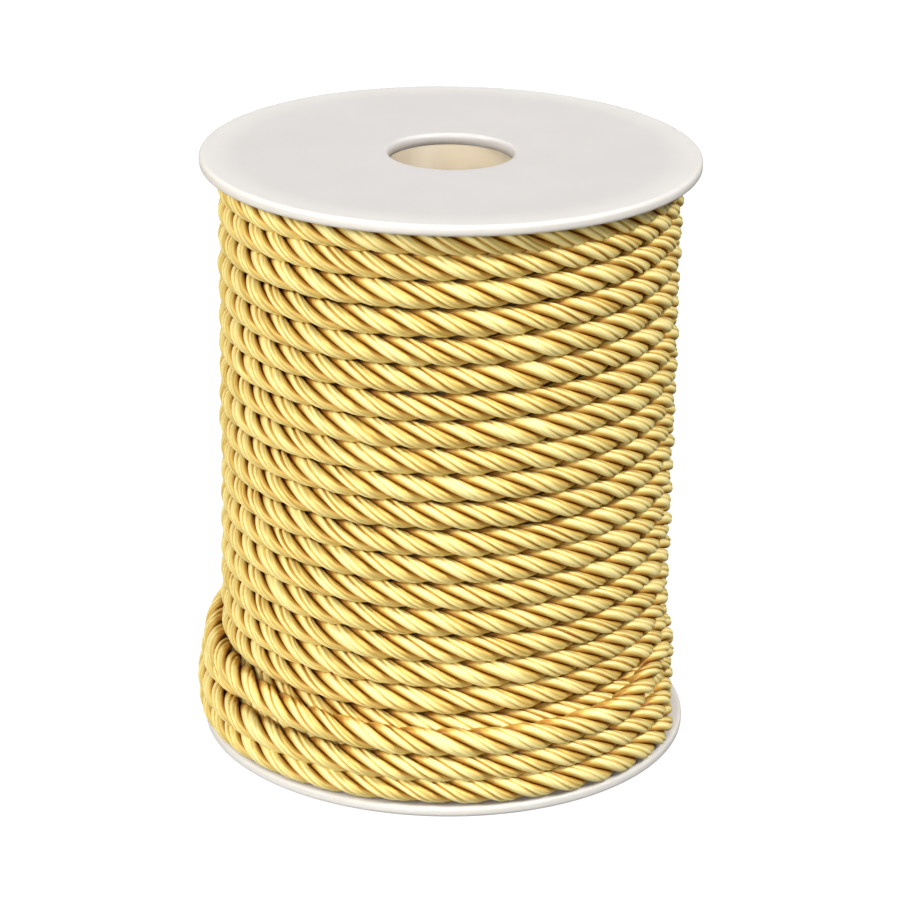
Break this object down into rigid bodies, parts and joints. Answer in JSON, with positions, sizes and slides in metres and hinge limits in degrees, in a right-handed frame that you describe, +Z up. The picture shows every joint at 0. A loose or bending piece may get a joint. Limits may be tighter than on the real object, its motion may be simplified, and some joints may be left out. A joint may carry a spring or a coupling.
{
  "type": "spool of twisted cord",
  "caption": "Spool of satin twisted cord wound in close turns on a plain plastic reel with a flange at each end and a hollow core.",
  "frame": {"origin": "on the spool's axis, in the plane its lower flange rests on", "axes": "+Z up along the spool's axis, -Y towards the viewer, +X to the viewer's right"},
  "size_m": [0.0914, 0.0928, 0.11],
  "materials": {
    "reel_plastic": "milky, slightly see-through moulded polypropylene",
    "cord_satin": "bright satin filament cord, three plies, golden yellow"
  },
  "bodies": {
    "root": {"reel_flange_bottom": "reel_plastic", "reel_flange_top": "reel_plastic", "reel_core": "reel_plastic", "cord_winding": "cord_satin"}
  },
  "joints": []
}
